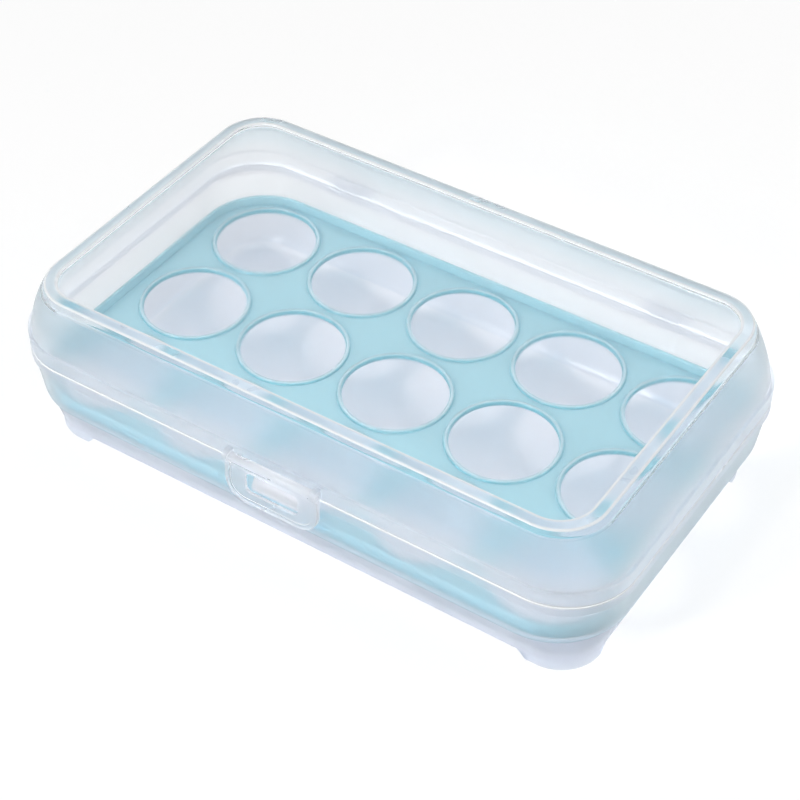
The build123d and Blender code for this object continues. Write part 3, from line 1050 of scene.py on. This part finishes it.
@dataclass
class Latch:
    """The front latch: a frame with a window, hung on a barrel with two stub pins."""

    width: float = 38.4
    drop: float = 18.2  # from the pivot to the lower edge
    shoulder: float = 2.58  # from the pivot down to the frame's shoulders
    shoulder_round: float = 0.8
    thickness: float = 2.0
    corner: float = 8.5  # radius of the lower corners
    edge: float = 0.45  # rounding of the frame's edges
    barrel_radius: float = 1.7
    barrel_length: float = 33.2
    stub_radius: float = 0.9
    stub_length: float = 37.8
    window_width: float = 22.0
    window_height: float = 9.0
    window_corner: float = 2.4
    window_middle: float = -8.9  # from the pivot
    border: float = 2.0  # raised, round the recess
    recess: float = 0.5  # depth round the window
    recess_top: float = 0.9  # from the shoulders down to the recess
    recess_round: float = 1.2  # of the recess's upper corners
    recess_edge: float = 0.25  # rounding of the recess's edge
    lean: float = 3.19  # how far the released latch stands out, in degrees
    highlight_faces: Pair = (0.2, 0.97)  # which faces of the rounded edges get the painted highlight, by how far they look ahead
    plastics: tuple[PlasticFinish, ...] = (LATCH_FROST, PAINTED_HIGHLIGHT)

    @staticmethod
    def plaque(half: float, low: float, top: float, rounds: Pair) -> list[Pair]:
        """Corners of a flat form from its upper left, with upper and lower corner radii."""
        upper, lower = rounds
        return [
            *arc(-half + upper, top - upper, upper, 90, 180),
            *arc(-half + lower, low + lower, lower, 180, 270),
            *arc(half - lower, low + lower, lower, 270, 360),
            *arc(half - upper, top - upper, upper, 0, 90),
        ]

    def frame_outline(self) -> list[Pair]:
        """Corners of the frame, seen from the front, with the pivot at the origin."""
        neck, top = self.barrel_length / 2, -self.shoulder
        rounds = (self.shoulder_round, self.corner)
        body = self.plaque(self.width / 2, -self.drop, top, rounds)
        return [(neck, 0.0), (-neck, 0.0), (-neck, top), *body, (neck, top)]

    def window_outline(self) -> list[Pair]:
        """Corners of the window."""
        reach = self.window_height / 2
        low, top = self.window_middle - reach, self.window_middle + reach
        return self.plaque(self.window_width / 2, low, top, (self.window_corner,) * 2)

    def recess_outline(self) -> list[Pair]:
        """Corners of the shallow recess round the window, inside the raised border."""
        half, low = self.width / 2 - self.border, self.border - self.drop
        rounds = (self.recess_round, self.corner - self.border)
        return self.plaque(half, low, -self.shoulder - self.recess_top, rounds)

    def plate(
        self, name: str, outlines: Sequence[Sequence[Pair]], low: float, high: float, edge: float
    ) -> Solid:
        """A plate with rounded edges, standing where the released latch is.

        Args:
            name: name of the new object.
            outlines: its outer outline, then those of its openings.
            low: distance of its back from the frame's back.
            high: distance of its front from the frame's back.
            edge: rounding of its edges.

        Returns:
            The new object.
        """
        curve = bpy.data.curves.new(name, "CURVE")
        curve.dimensions, curve.fill_mode = "2D", "BOTH"
        for outline in outlines:
            spline = curve.splines.new("POLY")
            spline.points.add(len(outline) - 1)
            for point, (x, z) in zip(spline.points, outline):
                point.co = (x * MM, z * MM, 0.0, 1.0)
            spline.use_cyclic_u = True
        curve.extrude = ((high - low) / 2 - edge) * MM
        curve.bevel_depth = edge * MM
        curve.bevel_resolution = 3
        curve.offset = -edge * MM
        holder = linked(name, curve)
        mesh = evaluated(holder)
        bpy.data.objects.remove(holder)
        build = bmesh.new()
        build.from_mesh(mesh)
        bmesh.ops.remove_doubles(build, verts=build.verts, dist=MERGE)
        bmesh.ops.recalc_face_normals(build, faces=build.faces)
        # Faces of the rounded edges get the second plastic, a painted highlight.
        least, most = self.highlight_faces
        for face in build.faces:
            face.material_index = int(least < abs(face.normal.z) < most)
        build.to_mesh(mesh)
        build.free()
        middle = (low + high) / 2 - self.barrel_radius
        mesh.transform(
            Matrix.Translation(metres(0.0, PIVOT_Y, PIVOT_Z))
            @ Matrix.Rotation(radians(90 - self.lean), 4, "X")
            @ Matrix.Translation(metres(0.0, 0.0, middle))
        )
        return linked(name, mesh)

    def make(self) -> Solid:
        """Builds the latch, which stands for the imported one."""
        openings = [self.frame_outline(), self.window_outline()]
        piece = self.plate("latch_form", openings, 0.0, self.thickness, self.edge)
        low, high = self.thickness - self.recess, self.thickness + OVERRUN
        recess = self.plate("latch_recess", [self.recess_outline()], low, high, self.recess_edge)
        tools = [(recess, Join.CUT)]
        for name, radius, length in (
            ("latch_barrel", self.barrel_radius, self.barrel_length),
            ("latch_stubs", self.stub_radius, self.stub_length),
        ):
            tools.append(bar(name, circle(PIVOT_Y, PIVOT_Z, radius), -length / 2, length / 2))
        finish(piece, self.plastics, tools)
        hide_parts("latch")
        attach(piece, "latch")
        return piece


# ---- studio


@dataclass(frozen=True)
class Viewpoint:
    """Where the camera stands and how it is turned."""

    turn: float = -0.590760  # azimuth in radians
    tilt: float = 0.744955  # how far it looks down, in radians
    roll: float = -0.0045  # turn about its own axis, in radians
    distance: float = 722.19  # to the point it looks at
    target: Point = (3.706, -2.669, 24.0)
    lens: float = 89.92  # focal length
    sensor: float = 36.0  # width of the picture on the sensor
    drawn: Pair = (0.01, 20.0)  # nearest and farthest distance, in metres

    def place(self) -> None:
        """Creates the camera and makes it the scene's."""
        lens = bpy.data.cameras.new("camera")
        lens.lens = self.lens
        lens.sensor_width = self.sensor
        lens.clip_start, lens.clip_end = self.drawn
        camera = linked("camera", lens)
        camera.matrix_world = (
            Matrix.Translation(metres(*self.target))
            @ Matrix.Rotation(-self.turn, 4, "Z")
            @ Matrix.Rotation(radians(90) - self.tilt, 4, "X")
            @ Matrix.Rotation(self.roll, 4, "Z")
            @ Matrix.Translation(metres(0.0, 0.0, self.distance))
        )
        bpy.context.scene.camera = camera


@dataclass(frozen=True)
class Lamp:
    """A square soft lamp that points at the object, in metres and watts."""

    name: str
    spot: Point
    power: float
    size: float
    aim: Point = (0.0, 0.0, 0.02)

    def place(self) -> None:
        """Puts the lamp into the scene."""
        light = bpy.data.lights.new(self.name, "AREA")
        light.shape, light.size, light.energy = "SQUARE", self.size, self.power
        lamp = linked(self.name, light)
        lamp.location = self.spot
        aim = Vector(self.aim) - Vector(self.spot)
        lamp.rotation_euler = aim.to_track_quat("-Z", "Y").to_euler()


@dataclass(frozen=True)
class Studio:
    """Plain pale floor, soft lamps and an even sky."""

    sky: float = 0.46  # strength of the sky that lights the object
    floor_half: float = 6.0  # half the floor's side, in metres
    floor_tone: float = 0.36  # how bright the floor is by itself
    floor_glow: float = 0.70  # added to it where it is seen, so that it reads as white
    key: Lamp = Lamp("key_lamp", (-0.32, -1.16, 0.72), 9.4, 0.14)
    fill: Lamp = Lamp("fill_lamp", (0.95, 0.45, 0.85), 4.2, 0.8)

    @staticmethod
    def seen(tree: Tree) -> Socket:
        """1 for rays that show the background: straight, in a gloss or through glass."""
        path = tree.node("ShaderNodeLightPath").outputs
        rays = path["Is Camera Ray"]
        for other in ("Is Glossy Ray", "Is Transmission Ray"):
            rays = tree.maths("MAXIMUM", rays, path[other])
        return rays

    def make_sky(self) -> None:
        """An even sky that is white where it is seen."""
        world = bpy.data.worlds.new("studio")
        tree = Tree.emptied(world)
        strength = tree.ranged(self.seen(tree), (0.0, 1.0), (self.sky, 1.0))
        glow = tree.out("ShaderNodeBackground", {"Color": WHITE, "Strength": strength})
        tree.node("ShaderNodeOutputWorld", {"Surface": glow})
        bpy.context.scene.world = world

    def make_floor(self) -> None:
        """A wide plain floor that keeps the object's shadow."""
        half = self.floor_half
        mesh = bpy.data.meshes.new("floor")
        corners = [(side_x * half, side_y * half, 0.0) for side_x, side_y in QUARTERS]
        mesh.from_pydata(corners, [], [(2, 3, 0, 1)])
        floor = linked("floor", mesh)
        made = bpy.data.materials.new("floor_white")
        tree = Tree.emptied(made)
        matt = tree.out("ShaderNodeBsdfDiffuse", {"Color": rgba((self.floor_tone,) * 3)})
        strength = tree.maths("MULTIPLY", self.seen(tree), self.floor_glow)
        glow = tree.out("ShaderNodeEmission", {"Color": WHITE, "Strength": strength})
        both = tree.out("ShaderNodeAddShader", {0: matt, 1: glow})
        tree.node("ShaderNodeOutputMaterial", {"Surface": both})
        dress(floor, [made])

    def make(self) -> None:
        """Sets up the sky, the floor and the lamps."""
        self.make_sky()
        self.make_floor()
        self.key.place()
        self.fill.place()


def main() -> None:
    """Builds every piece in order and reports it."""
    bpy.context.scene.view_settings.view_transform = "Standard"
    Studio().make()
    Viewpoint().place()
    for sub_assembly in (Base(), EggTray(), Lid(), Latch()):
        piece = sub_assembly.make()
        axes = list(zip(*piece.bound_box))
        low, high = ([round(pick(axis) / MM, 2) for axis in axes] for pick in (min, max))
        log.info("%s: %d faces, %s to %s", piece.name, len(piece.data.polygons), low, high)


if __name__ == "__main__":
    main()
